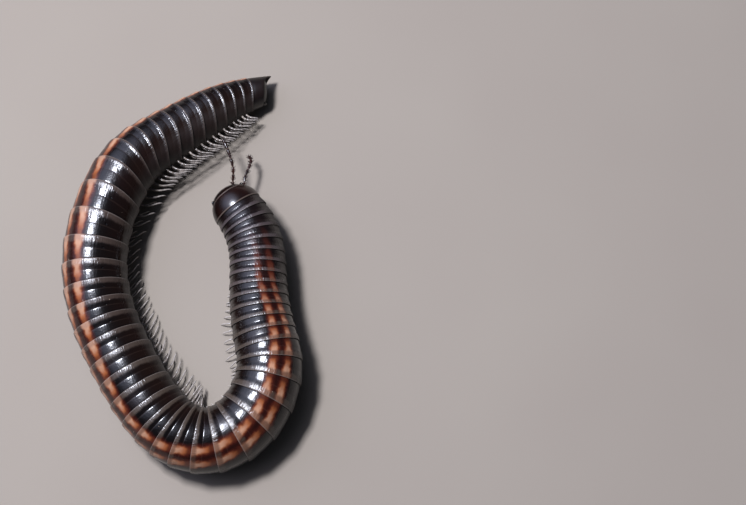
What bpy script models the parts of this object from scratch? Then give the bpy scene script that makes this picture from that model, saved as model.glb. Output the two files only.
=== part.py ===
"""A striped millipede, life size, as a still model: the body lies in a J, its back turned outwards.

Metres, +Z up. The origin is on the floor under the middle of the model's box, +Y is the long way.
Lengths below are in millimetres until the meshes are made.
"""

import math
from collections import namedtuple

import bmesh
import bpy
import numpy as np
from mathutils import Matrix, Vector

MM = 0.001
NAME = "striped_millipede"

# The body line. The rings are numbered from the collum, ring 1, to the last before the telson.
# Each row: a place counted in rings, whole at their rear edges, x, y, radius, roll of the back in degrees.
STATIONS = (
    (1, 2.86, 3.17, 1.38, 2),
    (2.75, 3.40, 2.34, 1.45, 5),
    (5.45, 3.88, 0.88, 1.50, 12),
    (8.55, 4.00, -0.94, 1.55, 18),
    (13.25, 4.42, -3.91, 1.70, 31),
    (16.1, 4.56, -6.21, 1.77, 21),
    (18, 3.59, -8.15, 1.78, 27),
    (20, 1.79, -9.26, 1.77, 38),
    (22, 0.16, -9.02, 1.77, 51),
    (24.1, -1.08, -8.07, 1.77, 62),
    (28.2, -3.30, -4.62, 1.77, 55),
    (31.25, -4.41, -1.86, 1.76, 46),
    (34.2, -4.59, 1.50, 1.74, 41),
    (37, -3.38, 5.09, 1.66, 59),
    (40, -1.48, 7.07, 1.53, 82),
    (44, 1.15, 8.84, 1.31, 87),
    (48, 3.37, 10.00, 0.93, 86),
    (50, 4.33, 10.25, 0.78, 86),
)

# How far the body is held off the floor, at these rings.
LIFT_RINGS = (1, 14, 20, 29, 34, 37, 42)
LIFTS = (0.45, 0.45, 0.00, 0.00, 0.35, 0.35, 0.00)

# The lengths of the trunk, by the last ring of each. They are shorter round the bend.
LENGTH_ENDS = (5, 9, 13, 16, 19, 22, 25, 29, 33, 37, 41, 44, 48)

SEAM = 0.30  # between two lengths of the body
FINE_SEAM = 0.12  # between the small pieces of the head and the tail

# One ring lengthwise: share of the ring's length, share of its radius. The front half slides under
# the ring before it, and the rear half is the widest.
RING_PROFILE = ((0.00, 0.945), (0.40, 0.980), (0.60, 1.000), (0.94, 1.000))
SECTION_SIDES = 16
FACET = math.cos(math.pi / SECTION_SIDES)
ROUND = 2 / (1 + FACET)  # corners stand out as far as the flats between them stand in

# Legs, fewer and thicker than the real ones
LEG_RADII = (0.28, 0.28, 0.28, 0.22, 0.08)  # at the root, hip, knee, ankle and toe
CLEAR_OF_FLOOR = 0.32  # height of a leg's middle where only its toe may touch the floor
LEG_SPACING = 0.80
LEG_SIDES = 5
ROW_ANGLE = 17  # of each row's roots from the middle of the belly
ROOT_DEPTH = 0.45  # of the root under the skin, as a share of the body's radius
FOLD_ROLL = 32  # where the body lies further over than this, both rows of legs point to the inner side
LAST_LEGGED_RING = 47
ROOT_LINE_POINTS = 60

# At these rings, the legs' length for a body as wide as the widest, and how far a leg swings to
# the tail for each millimetre outwards.
LEG_RINGS = (2, 12, 22, 27, 34, 40, 48)
LEG_LENGTHS = (1.25, 1.35, 1.15, 1.25, 1.20, 1.30, 1.30)
LEG_LEANS = (0.10, 0.10, 0.30, 0.80, 0.80, 0.85, 0.85)
WIDEST_RING = 20

# The stretches of a leg past its hip: share of its length, and how far it goes on along its root,
# outwards and up.
LEG_STRETCHES = ((0.42, 0.50, 0.50, 0.00), (0.38, 0.00, 0.85, -0.30), (0.24, 0.00, 0.55, -0.80))

# Collum and head. Forward distances of the collum are from its rear edge, those of the head's
# pieces from the head's middle: forward, left and up.
COLLUM_REACH = 1.30
COLLUM_FRONT_TOP, COLLUM_FRONT_FOOT = 1.14, 0.25
FRONT_TOP_HEIGHT, FRONT_HEIGHT = 0.7, 1.6  # of its slanting front, as shares of the body's radius
HEAD_FORWARD, HEAD_DROP = 0.74, 0.22
HEAD_DEPTH, HEAD_WIDTH, HEAD_HEIGHT = 0.70, 1.10, 1.02  # half sizes
CHIN_NARROWING = 0.22
EYE_SIZE = (0.27, 0.14, 0.19)
EYE_PLACE = (0.10, 0.90, 0.46)
CHEEK_SIZE = (0.42, 0.30, 0.42)
CHEEK_PLACE = (-0.12, 0.74, -0.46)
UNDERLIP_SIZE = (0.46, 0.42, 0.20)
UNDERLIP_PLACE = (-0.10, 0.0, -0.98)
ANTENNA_RADII = (0.24, 0.25, 0.27, 0.25, 0.27, 0.25, 0.27, 0.25, 0.27, 0.24, 0.14)
ANTENNA_SIDES = 8
ANTENNA_LEFT = (
    (2.42, 4.62, 1.62), (2.49, 5.10, 1.78), (2.45, 5.70, 1.95), (2.20, 6.50, 2.05), (1.97, 7.05, 2.00)
)
ANTENNA_RIGHT = (
    (3.12, 4.62, 1.55), (3.20, 5.12, 1.52), (3.38, 5.66, 1.42), (3.46, 6.12, 1.22), (3.31, 6.46, 0.92)
)

# Tail. The telson's sections: ring number, share of the body's radius.
TELSON_SECTIONS = ((48.55, 0.965), (49.28, 0.940), (49.40, 0.860))
TELSON_START_SHARE = 0.93
VALVE_SHARE, VALVE_REACH, VALVE_DROP = 0.74, 0.26, 0.10
SPUR_START = (-0.50, 0.68)  # back from the telson's end, and share of the radius towards the mid back
SPUR_LENGTH, SPUR_RISE = 1.25, 0.06
SPUR_STEPS, SPUR_RADII = (0, 0.4, 0.75, 1), (0.24, 0.22, 0.16, 0.05)
SPUR_SIDES = 8
SCALE_SIZE = (0.24, 0.30, 0.12)
SCALE_FORWARD = 0.02

CUTTER = 3.0  # half side of a box for cutting
SHARP_ANGLE = 40
NEARBY = 0.05  # ring numbers, for the body's direction

# Facets of the balls, round them and from pole to pole
DOME_FACETS, HEAD_FACETS, VALVE_FACETS, SMALL_FACETS = (24, 12), (20, 12), (16, 12), (12, 8)

Place = namedtuple("Place", "centre back outer up radius roll")


def spline(knots, values, at):
    """Reads a natural cubic spline through the values at the knots."""
    knots, values = np.array(knots, float), np.array(values, float)
    spans = np.diff(knots)
    slopes = np.diff(values, axis=0) / spans[:, None]
    balance, turns = np.eye(len(knots)), np.zeros_like(values)
    for i in range(1, len(knots) - 1):
        balance[i, i - 1 : i + 2] = spans[i - 1], 2 * (spans[i - 1] + spans[i]), spans[i]
        turns[i] = 6 * (slopes[i] - slopes[i - 1])
    bends = np.linalg.solve(balance, turns)
    i = int(np.clip(np.searchsorted(knots, at, side="right") - 1, 0, len(spans) - 1))
    ahead = (at - knots[i]) / spans[i]
    behind = 1 - ahead
    straight = behind * values[i] + ahead * values[i + 1]
    bent = (behind**3 - behind) * bends[i] + (ahead**3 - ahead) * bends[i + 1]
    return (straight + bent * spans[i] ** 2 / 6).tolist()


def body_line(ring):
    """x, y, radius and roll at a ring number."""
    rings = [row[0] for row in STATIONS]
    return spline(rings, [row[1:] for row in STATIONS], ring)


def place(ring):
    """Where the body is at a ring number, with its own directions. Its sections stand upright."""
    x, y, radius, roll = body_line(ring)
    before, after = body_line(ring - NEARBY), body_line(ring + NEARBY)
    back = Vector((after[0] - before[0], after[1] - before[1], 0)).normalized()
    up = Vector((0, 0, 1))
    radius *= ROUND
    centre = Vector((x, y, radius * FACET + float(np.interp(ring, LIFT_RINGS, LIFTS))))
    return Place(centre, back, up.cross(back), up, radius, math.radians(roll))


def around(spot, angle, radius):
    """A point of the section, its angle measured from straight down towards the inner side."""
    return spot.centre - radius * (math.sin(angle) * spot.outer + math.cos(angle) * spot.up)


def section(ring, share):
    """One ring of points round the body."""
    spot = place(ring)
    turn = 2 * math.pi / SECTION_SIDES
    return [around(spot, (i + 0.5) * turn, spot.radius * share) for i in range(SECTION_SIDES)]


def pitch(ring):
    """Length of the body between one ring number and the next, here."""
    before, after = body_line(ring - 0.5), body_line(ring + 0.5)
    return math.dist(before[:2], after[:2])


def linear(hex_colour):
    """An sRGB hex colour as linear RGBA."""
    parts = [int(hex_colour[i : i + 2], 16) / 255 for i in (1, 3, 5)]
    return [p / 12.92 if p <= 0.04045 else ((p + 0.055) / 1.055) ** 2.4 for p in parts] + [1]


def finish(name, hex_colour, roughness):
    """A plain Principled material."""
    material = bpy.data.materials.new(name)
    material.use_nodes = True
    shader = material.node_tree.nodes["Principled BSDF"]
    shader.inputs["Base Color"].default_value = linear(hex_colour)
    shader.inputs["Roughness"].default_value = roughness
    shader.inputs["Metallic"].default_value = 0
    return material


def collection(name):
    """The collection of this name, made when it is first asked for."""
    found = bpy.data.collections.get(name)
    if not found:
        found = bpy.data.collections.new(name)
        bpy.context.scene.collection.children.link(found)
    return found


def as_object(name, shape, material=None, at=Matrix()):
    """An object from a bmesh in millimetres, set down at its place. It is a cutter if it has no material."""
    bmesh.ops.recalc_face_normals(shape, faces=shape.faces)
    bmesh.ops.scale(shape, vec=(MM, MM, MM), verts=shape.verts)
    mesh = bpy.data.meshes.new(name)
    shape.to_mesh(mesh)
    shape.free()
    made = bpy.data.objects.new(name, mesh)
    made.location = at.to_translation() * MM
    made.rotation_euler = at.to_euler()
    if material:
        mesh.materials.append(material)
        mesh.shade_smooth()
        mesh.set_sharp_from_angle(angle=math.radians(SHARP_ANGLE))
        collection(NAME).objects.link(made)
    else:
        made.hide_render = True
        made.display_type = "WIRE"
        collection("cutters").objects.link(made)
    return made


def loft(name, sections, material=None):
    """A closed skin through sections of equally many points, with flat ends. Its origin is in the first."""
    origin = sum(sections[0], Vector()) / len(sections[0])
    shape = bmesh.new()
    hoops = [[shape.verts.new(point - origin) for point in points] for points in sections]
    for front, rear in zip(hoops, hoops[1:]):
        for i, corner in enumerate(front):
            shape.faces.new((corner, front[i - 1], rear[i - 1], rear[i]))
    shape.faces.new(hoops[0])
    shape.faces.new(hoops[-1])
    return as_object(name, shape, material, Matrix.Translation(origin))


def limb(name, points, radii, sides, last_way=None, material=None):
    """A tapering limb through the points. The last section may face its own way."""
    points = [Vector(point) for point in points]
    ways = [(b - a).normalized() for a, b in zip(points, points[1:])]
    between = [(a + b).normalized() for a, b in zip(ways, ways[1:])]
    across = ways[0].orthogonal().normalized()
    sections = []
    for point, tangent, radius in zip(points, [ways[0], *between, last_way or ways[-1]], radii):
        across = (across - across.dot(tangent) * tangent).normalized()
        other = tangent.cross(across)
        turns = [2 * math.pi * i / sides for i in range(sides)]
        sections.append([point + radius * (math.cos(t) * across + math.sin(t) * other) for t in turns])
    return loft(name, sections, material)


def turned(centre, axes):
    """The place of a piece with this centre, along its own axes."""
    return Matrix.Translation(centre) @ Matrix(axes).transposed().to_4x4()


def ellipsoid(name, centre, axes, sizes, facets, material=None, narrowing=0):
    """A ball stretched along its own axes. Its lower half may narrow towards the bottom."""
    shape = bmesh.new()
    bmesh.ops.create_uvsphere(shape, u_segments=facets[0], v_segments=facets[1], radius=1)
    for corner in shape.verts:
        if corner.co.z < 0:
            corner.co.y *= 1 + narrowing * corner.co.z
    bmesh.ops.scale(shape, vec=sizes, verts=shape.verts)
    return as_object(name, shape, material, turned(centre, axes))


def all_beyond(point, way, other):
    """A large box for cutting, with one face at the point and all of it this way from there."""
    shape = bmesh.new()
    bmesh.ops.create_cube(shape, size=2 * CUTTER)
    return as_object("cutter", shape, None, turned(point + CUTTER * way, (way, other, way.cross(other))))


def keep_largest(body):
    """Leaves the largest closed surface of a mesh."""
    shape = bmesh.new()
    shape.from_mesh(body.data)
    waiting = set(shape.faces)
    surfaces = []
    while waiting:
        surface, edge_of_search = set(), [waiting.pop()]
        while edge_of_search:
            face = edge_of_search.pop()
            surface.add(face)
            near = {other for edge in face.edges for other in edge.link_faces} & waiting
            waiting -= near
            edge_of_search.extend(near)
        surfaces.append(surface)
    largest = max(surfaces, key=lambda faces: sum(face.calc_area() for face in faces))
    scraps = [face for surface in surfaces if surface is not largest for face in surface]
    bmesh.ops.delete(shape, geom=scraps, context="FACES")
    shape.to_mesh(body.data)
    shape.free()


def combine(body, others, operation):
    """Joins the other pieces to the body, or cuts them from it, and removes them."""
    group = bpy.data.collections.new("pieces")
    for other in others:
        group.objects.link(other)
    step = body.modifiers.new("pieces", "BOOLEAN")
    step.operation = operation
    step.operand_type = "COLLECTION"
    step.collection = group
    step.solver = "EXACT"
    bpy.context.view_layer.update()
    seen = body.evaluated_get(bpy.context.evaluated_depsgraph_get())
    mesh = bpy.data.meshes.new_from_object(seen)
    body.modifiers.remove(step)
    body.data = mesh
    for other in others:
        bpy.data.objects.remove(other)
    bpy.data.collections.remove(group)
    keep_largest(body)
    return body


def trunk_sections(first, last):
    """The sections of the rings first to last, with half a seam left free at each end."""
    start = first - 1 + SEAM / 2 / pitch(first - 1)
    end = last - SEAM / 2 / pitch(last)
    found = []
    for ring in range(first, last + 1):
        for along, share in RING_PROFILE:
            number = min(max(ring - 1 + along, start), end)
            found.append(section(number, share))
    return found


def leg_root_line(first, last, row):
    """Ring numbers of the legs of one row, evenly spread and clear of both ends of the length."""
    numbers = np.linspace(first - 1, last, ROOT_LINE_POINTS)
    spots = [place(number) for number in numbers]
    feet = [around(spot, spot.roll + row * math.radians(ROW_ANGLE), spot.radius) for spot in spots]
    run = np.concatenate([[0], np.cumsum([(b - a).length for a, b in zip(feet, feet[1:])])])
    margin = SEAM / 2 + LEG_RADII[0] + FINE_SEAM
    usable = run[-1] - 2 * margin
    count = max(int(usable / LEG_SPACING) + 1, 0) if usable > 0 else 0
    wanted = np.linspace(margin, run[-1] - margin, count) if count > 1 else [run[-1] / 2] * count
    return [float(np.interp(distance, run, numbers)) for distance in wanted]


def leg(ring, row, material):
    """One leg: from inside the body out through the belly, over a knee and down to its toe."""
    spot = place(ring)
    angle = spot.roll + row * math.radians(ROW_ANGLE)
    root, hip = around(spot, angle, (1 - ROOT_DEPTH) * spot.radius), around(spot, angle, spot.radius)
    radial = (hip - root).normalized()
    folded = math.degrees(spot.roll) > FOLD_ROLL
    side = -spot.outer if row > 0 or folded else spot.outer
    way = (side + float(np.interp(ring, LEG_RINGS, LEG_LEANS)) * spot.back).normalized()
    length = float(np.interp(ring, LEG_RINGS, LEG_LENGTHS)) * spot.radius / place(WIDEST_RING).radius
    hip.z = max(hip.z, CLEAR_OF_FLOOR)
    path = [root, hip]
    for share, down, out, rise in LEG_STRETCHES:
        path.append(path[-1] + share * length * (down * radial + out * way + rise * spot.up))
        if len(path) < len(LEG_RADII):
            path[-1].z = max(path[-1].z, CLEAR_OF_FLOOR)
    last_way = None
    if path[-1].z < LEG_RADII[0]:
        path[-1].z = 0
        last_way = -spot.up
    return limb("leg", path, LEG_RADII, LEG_SIDES, last_way, material)


def make_trunk(material):
    """The lengths of the trunk, each one solid with its legs."""
    first = 2
    for number, last in enumerate(LENGTH_ENDS, start=1):
        body = loft(f"trunk_{number:02d}", trunk_sections(first, last), material)
        legged = min(last, LAST_LEGGED_RING)
        roots = [(ring, row) for row in (-1, 1) for ring in leg_root_line(first, legged, row)]
        combine(body, [leg(ring, row, material) for ring, row in roots], "UNION")
        first = last + 1


def head_place():
    """Centre of the head and its axes: forward, left, up."""
    spot = place(1)
    forward = -spot.back
    left = spot.up.cross(forward)
    centre = spot.centre + HEAD_FORWARD * forward - HEAD_DROP * spot.up
    return centre, (forward, left, spot.up)


def on_head(offset):
    """A point given from the head's centre along its axes."""
    centre, axes = head_place()
    return centre + sum((share * axis for share, axis in zip(offset, axes)), Vector())


def grown(sizes, by):
    return tuple(size + by for size in sizes)


def mirrored(offset, side):
    return (offset[0], side * offset[1], offset[2])


def head_shape(by=0.0, material=None):
    """The head capsule, or the same made larger all round."""
    centre, axes = head_place()
    sizes = grown((HEAD_DEPTH, HEAD_WIDTH, HEAD_HEIGHT), by)
    return ellipsoid("head", centre, axes, sizes, HEAD_FACETS, material, CHIN_NARROWING)


def ball_on_head(name, offset, sizes, by=0.0, material=None):
    """A small piece of the head as a ball along the head's axes, or the same made larger all round."""
    axes = head_place()[1]
    return ellipsoid(name, on_head(offset), axes, grown(sizes, by), SMALL_FACETS, material)


def head_clearances():
    """Room for the eyes, cheeks and underlip."""
    room = [ball_on_head("room", UNDERLIP_PLACE, UNDERLIP_SIZE, FINE_SEAM)]
    for side in (1, -1):
        room.append(ball_on_head("room", mirrored(EYE_PLACE, side), EYE_SIZE, FINE_SEAM))
        room.append(ball_on_head("room", mirrored(CHEEK_PLACE, side), CHEEK_SIZE, FINE_SEAM))
    return room


def make_head(black, red_brown):
    """Head capsule with the sockets of what it carries, eyes, cheeks and underlip."""
    sockets = head_clearances()
    for points in (ANTENNA_LEFT, ANTENNA_RIGHT):
        ball = grown((ANTENNA_RADII[0],) * 3, FINE_SEAM)
        sockets.append(ellipsoid("socket", Vector(points[0]), head_place()[1], ball, SMALL_FACETS))
    combine(head_shape(0, black), sockets, "DIFFERENCE")
    for side, hand in ((1, "left"), (-1, "right")):
        ball_on_head(f"eye_{hand}", mirrored(EYE_PLACE, side), EYE_SIZE, 0, black)
        ball_on_head(f"mandible_{hand}", mirrored(CHEEK_PLACE, side), CHEEK_SIZE, 0, red_brown)
    underlip = ball_on_head("gnathochilarium", UNDERLIP_PLACE, UNDERLIP_SIZE, 0, red_brown)
    cheeks = [
        ball_on_head("room", mirrored(CHEEK_PLACE, side), CHEEK_SIZE, FINE_SEAM) for side in (1, -1)
    ]
    combine(underlip, cheeks, "DIFFERENCE")


def make_antenna(name, points, material):
    """A feeler: a tube that swells at each article, along a smooth curve through its points."""
    knots = range(len(points))
    path = [spline(knots, points, at) for at in np.linspace(0, knots[-1], len(ANTENNA_RADII))]
    limb(name, path, ANTENNA_RADII, ANTENNA_SIDES, material=material)


def make_collum(material):
    """The shield behind the head: a dome cut off aslant in front, with room for the head inside."""
    spot = place(1)
    forward = -spot.back
    left = spot.up.cross(forward)
    radius = spot.radius
    sizes = (COLLUM_REACH, radius, radius)
    dome = ellipsoid("collum", spot.centre, (forward, left, spot.up), sizes, DOME_FACETS, material)
    behind = all_beyond(spot.centre + SEAM / 2 * forward, -forward, left)
    slant = math.atan2(COLLUM_FRONT_TOP - COLLUM_FRONT_FOOT, FRONT_HEIGHT * radius)
    face_way = math.cos(slant) * forward - math.sin(slant) * spot.up
    top = spot.centre + COLLUM_FRONT_TOP * forward + FRONT_TOP_HEIGHT * radius * spot.up
    ahead = all_beyond(top, face_way, left)
    combine(dome, [behind, ahead, head_shape(FINE_SEAM), *head_clearances()], "DIFFERENCE")


def tail_place():
    """Where the telson ends, its axes there (back, side, towards the mid back) and the valves' middle."""
    spot = place(TELSON_SECTIONS[-1][0])
    dorsal = math.cos(spot.roll) * spot.up + math.sin(spot.roll) * spot.outer
    axes = (spot.back, spot.back.cross(dorsal), dorsal)
    return spot, axes, spot.centre + FINE_SEAM * spot.back - VALVE_DROP * dorsal


def spur(by=0.0, material=None):
    """The spur over the valves, or the same made thicker."""
    spot, (back, _, dorsal), _ = tail_place()
    begin = spot.centre + SPUR_START[0] * back + SPUR_START[1] * spot.radius * dorsal
    path = [begin + share * SPUR_LENGTH * (back + SPUR_RISE * dorsal) for share in SPUR_STEPS]
    return limb("spur", path, grown(SPUR_RADII, by), SPUR_SIDES, material=material)


def valves(name, by=0.0, material=None):
    """The ball of both valves, or the same made larger all round."""
    spot, axes, middle = tail_place()
    sizes = (VALVE_REACH, VALVE_SHARE * spot.radius, VALVE_SHARE * spot.radius)
    return ellipsoid(name, middle, axes, grown(sizes, by), VALVE_FACETS, material)


def make_tail(material, valve_material):
    """Telson with its spur, the two anal valves and the scale under them."""
    last = LENGTH_ENDS[-1]
    start = section(last + SEAM / 2 / pitch(last), TELSON_START_SHARE)
    telson = loft("preanal_ring", [start, *(section(*row) for row in TELSON_SECTIONS)], material)
    combine(telson, [spur(0, material)], "UNION")
    spot, (back, side, dorsal), middle = tail_place()
    for sign, hand in ((1, "left"), (-1, "right")):
        valve = valves(f"anal_valve_{hand}", 0, valve_material)
        ahead = all_beyond(middle, -back, side)
        other = all_beyond(middle + sign * FINE_SEAM / 2 * side, -sign * side, dorsal)
        combine(valve, [ahead, other, spur(FINE_SEAM)], "DIFFERENCE")
    under = middle + SCALE_FORWARD * back - (VALVE_SHARE * spot.radius + FINE_SEAM) * dorsal
    axes = (back, side, dorsal)
    scale = ellipsoid("subanal_scale", under, axes, SCALE_SIZE, SMALL_FACETS, valve_material)
    combine(scale, [valves("room", FINE_SEAM), all_beyond(middle, -back, side)], "DIFFERENCE")


def gather():
    """Hangs every piece on one empty at the model's origin."""
    root = bpy.data.objects.new(NAME, None)
    for made in list(collection(NAME).objects):
        made.parent = root
    collection(NAME).objects.link(root)


def main():
    for old in list(bpy.data.objects):
        bpy.data.objects.remove(old)
    black = finish("black_cuticle", "#1e1210", 0.25)
    red_brown = finish("red_brown_cuticle", "#3a1c16", 0.3)
    shell = finish("banded_shell", "#2b1713", 0.22)
    make_head(black, red_brown)
    make_antenna("antenna_left", ANTENNA_LEFT, red_brown)
    make_antenna("antenna_right", ANTENNA_RIGHT, red_brown)
    make_collum(red_brown)
    make_trunk(shell)
    make_tail(shell, red_brown)
    gather()


main()
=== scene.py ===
"""The looks of a striped millipede: a glossy ringed shell with two orange stripes, and many thin legs.

Lengths are in millimetres until the meshes are made. The body line and the places of the pieces of
the head and the tail repeat those of the solids, because this script can't read their source.
"""

import math
from collections import namedtuple

import bpy
import numpy as np
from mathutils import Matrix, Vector


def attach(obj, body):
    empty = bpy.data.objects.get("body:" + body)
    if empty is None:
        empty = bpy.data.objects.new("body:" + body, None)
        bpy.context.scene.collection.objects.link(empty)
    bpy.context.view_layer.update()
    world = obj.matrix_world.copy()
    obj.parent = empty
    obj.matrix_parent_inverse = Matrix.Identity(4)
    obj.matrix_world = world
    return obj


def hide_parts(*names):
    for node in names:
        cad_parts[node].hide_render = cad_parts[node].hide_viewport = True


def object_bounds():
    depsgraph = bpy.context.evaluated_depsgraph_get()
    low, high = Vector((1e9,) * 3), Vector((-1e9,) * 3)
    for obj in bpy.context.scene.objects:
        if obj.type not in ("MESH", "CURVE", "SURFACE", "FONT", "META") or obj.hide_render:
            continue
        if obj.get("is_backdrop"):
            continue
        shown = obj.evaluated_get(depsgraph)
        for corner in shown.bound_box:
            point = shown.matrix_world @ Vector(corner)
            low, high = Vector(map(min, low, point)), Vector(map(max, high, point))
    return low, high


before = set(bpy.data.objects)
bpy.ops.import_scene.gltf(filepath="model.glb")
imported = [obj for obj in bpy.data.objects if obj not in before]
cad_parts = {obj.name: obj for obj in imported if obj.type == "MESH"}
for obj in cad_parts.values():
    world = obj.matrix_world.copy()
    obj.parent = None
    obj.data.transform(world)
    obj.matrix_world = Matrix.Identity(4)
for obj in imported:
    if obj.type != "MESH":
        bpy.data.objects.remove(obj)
frame_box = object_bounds()

MM = 0.001
BODY = "root"
UP = np.array([0.0, 0.0, 1.0])

# The photograph's view. The camera looks at the middle of the picture, on the floor.
CAMERA_TARGET = (10.063, 1.279, 0.0)
CAMERA_ELEVATION = 75.0
CAMERA_DISTANCE = 112.0
CAMERA_LENS = 100.0
CAMERA_SENSOR = 36.0

# The key light and the dome's glow, each tilted up and left from the camera in the picture, in degrees
KEY_TILT = (26, 18)
KEY_DISTANCE, KEY_SIDES, KEY_POWER = 150, (32, 20), 0.45
GLOW_TILT = (38, 34)
GLOW_ANGLE = 46
GLOW_STRENGTH, DOME_STRENGTH = 2.5, 0.10
FLOOR_SIDE = 800

# The body line, as in the solids. The rings are numbered from the collum, ring 1.
# Each row: a place counted in rings, whole at their rear edges, x, y, radius, roll of the back in degrees.
STATIONS = (
    (1, 2.86, 3.17, 1.38, 2),
    (2.75, 3.40, 2.34, 1.45, 5),
    (5.45, 3.88, 0.88, 1.50, 12),
    (8.55, 4.00, -0.94, 1.55, 18),
    (13.25, 4.42, -3.91, 1.70, 31),
    (16.1, 4.56, -6.21, 1.77, 21),
    (18, 3.59, -8.15, 1.78, 27),
    (20, 1.79, -9.26, 1.77, 38),
    (22, 0.16, -9.02, 1.77, 51),
    (24.1, -1.08, -8.07, 1.77, 62),
    (28.2, -3.30, -4.62, 1.77, 55),
    (31.25, -4.41, -1.86, 1.76, 46),
    (34.2, -4.59, 1.50, 1.74, 41),
    (37, -3.38, 5.09, 1.66, 59),
    (40, -1.48, 7.07, 1.53, 82),
    (44, 1.15, 8.84, 1.31, 87),
    (48, 3.37, 10.00, 0.93, 86),
    (50, 4.33, 10.25, 0.78, 86),
)
LIFT_RINGS = (1, 14, 20, 29, 34, 37, 42)
LIFTS = (0.45, 0.45, 0.00, 0.00, 0.35, 0.35, 0.00)
LENGTH_ENDS = (5, 9, 13, 16, 19, 22, 25, 29, 33, 37, 41, 44, 48)
AXIS_HEIGHT = 0.9903  # height of the body's axis over its lowest line, as a share of its radius

# One ring. Along it, 0 is the rear edge, 1 the suture and 2 the rear edge of the ring before it.
# Beyond 2 it slides under that ring. Each row: place along, share of the body's radius.
RING_OUTSIDE = (
    (2.45, 0.900), (2.30, 0.924), (2.15, 0.944), (2.00, 0.9590), (1.86, 0.9615), (1.70, 0.9640),
    (1.54, 0.9663), (1.42, 0.9678), (1.32, 0.9689), (1.24, 0.9697), (1.16, 0.9704), (1.10, 0.9708),
    (1.045, 0.9710), (1.015, 0.9701), (0.985, 0.9697), (0.955, 0.9706), (0.915, 0.9724), (0.86, 0.9752),
    (0.78, 0.9793), (0.68, 0.9840), (0.58, 0.9882), (0.50, 0.9909), (0.42, 0.9931), (0.34, 0.9948),
    (0.27, 0.9959), (0.21, 0.9965), (0.16, 0.9968), (0.12, 0.9967), (0.09, 0.9961), (0.065, 0.9952),
    (0.045, 0.9940), (0.028, 0.9922), (0.014, 0.9898), (0.004, 0.9855), (0.00, 0.9790),
)
RING_INSIDE = (
    (0.01, 0.967), (0.06, 0.960), (0.25, 0.954), (0.60, 0.946), (1.00, 0.936), (1.50, 0.925),
    (2.00, 0.912), (2.30, 0.892), (2.43, 0.885),
)
RING_SIDES = 144
TAIL_FLARE = (0.40, 0.10, 0.030)  # the upper side of the tail's rings widens here along them, by this share
FLARE_RINGS = (33, 41)  # it grows from the first of these rings to the second
FLARE_WAYS = (40, 75)  # it ends between these ways round the body, in degrees from straight up
# The rims bow to the rear on the upper side of the tail: ring numbers, and how much, in rings.
BOW_RINGS = (34, 39, 41, 48, 49.5)
BOWS = (0.0, 0.60, 0.67, 0.60, 0.0)
BOW_REST, BOW_ASIDE = 0.4, 0.2  # taken off it all round, and added on the outer side
SUTURE_SHARE, SUTURE_LIMIT = 0.57, 0.62  # length of the rear part: of the usual pitch, of the pitch here
TUCKED = 0.60  # length for each step of 1 beyond 2, under the ring before

# Legs. Two pairs on each ring, one pair on the first three rings behind the collum, none on the last.
SINGLE_PAIR_RINGS = (2, 3, 4)
LAST_LEGGED_RING = 47
PAIR_PLACES = (0.30, 0.76)
LEG_ROW_ANGLE = 9
FOLD_ROLL = 32
LEG_RINGS = (2, 12, 22, 27, 34, 40, 48)
LEG_LENGTHS = (1.45, 1.60, 1.35, 1.40, 1.35, 1.55, 1.60)
LEG_LEANS = (0.10, 0.10, 0.35, 0.90, 1.10, 1.60, 2.00)
LEG_RADIUS = 0.068
LEG_JOINTS = (0.10, 0.26, 0.44, 0.60, 0.75, 0.93)
GAIT_RINGS = 6.5  # rings from one wave of the legs to the next
GAIT_SWING = 0.28
LEG_SIDES = 8

# Collum and head
COLLUM_REACH = 1.36
COLLUM_TURNS = (0, 40, 75, 100, 125, 145, 180)
COLLUM_FRONTS = (0.97, 0.95, 0.82, 0.64, 0.38, 0.20, 0.14)
# Its section, from its rear edge to its front and back inside. Each row: share of its reach, share of
# the radius.
COLLUM_SMOOTH = (0, 0.01, 0.03, 0.06, 0.1, 0.16, 0.24, 0.33, 0.43, 0.53, 0.63, 0.72, 0.80, 0.87)
COLLUM_MARGIN = (
    (0.90, 0.992), (0.915, 0.987), (0.93, 0.993), (0.95, 1.0), (0.975, 1.004), (0.99, 1.0), (1.0, 0.985),
)
COLLUM_INSIDE = (
    (0.998, 0.965), (0.98, 0.945), (0.9, 0.935), (0.7, 0.93), (0.4, 0.93), (0.15, 0.93), (0.0, 0.93),
    (-0.01, 0.94), (-0.02, 0.96), (-0.02, 0.975), (-0.01, 0.99),
)
HEAD_FORWARD, HEAD_DROP = 0.74, 0.22
HEAD_SIZE = (0.70, 1.06, 1.02)
CHIN_NARROWING = 0.22
EYE_SIZE = (0.27, 0.14, 0.19)
EYE_PLACE = (0.10, 0.88, 0.46)
CHEEK_SIZE = (0.42, 0.30, 0.42)
CHEEK_PLACE = (-0.12, 0.74, -0.46)
UNDERLIP_SIZE = (0.46, 0.42, 0.20)
UNDERLIP_PLACE = (-0.10, 0.0, -0.98)
LENS_RADIUS = 0.036
ANTENNA_LEFT = (
    (2.52, 4.62, 1.62), (2.56, 5.10, 1.78), (2.50, 5.70, 1.95), (2.23, 6.50, 2.05), (1.97, 7.05, 2.00)
)
ANTENNA_RIGHT = (
    (3.12, 4.62, 1.55), (3.20, 5.12, 1.52), (3.38, 5.66, 1.42), (3.46, 6.12, 1.22), (3.31, 6.46, 0.92)
)
# Where each article of a feeler ends, as a share of its length, and how thick it is there.
ARTICLE_ENDS = (0.07, 0.27, 0.43, 0.58, 0.74, 0.90, 0.97, 1.00)
ARTICLE_RADII = (0.092, 0.078, 0.080, 0.083, 0.090, 0.086, 0.060, 0.040)

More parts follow.
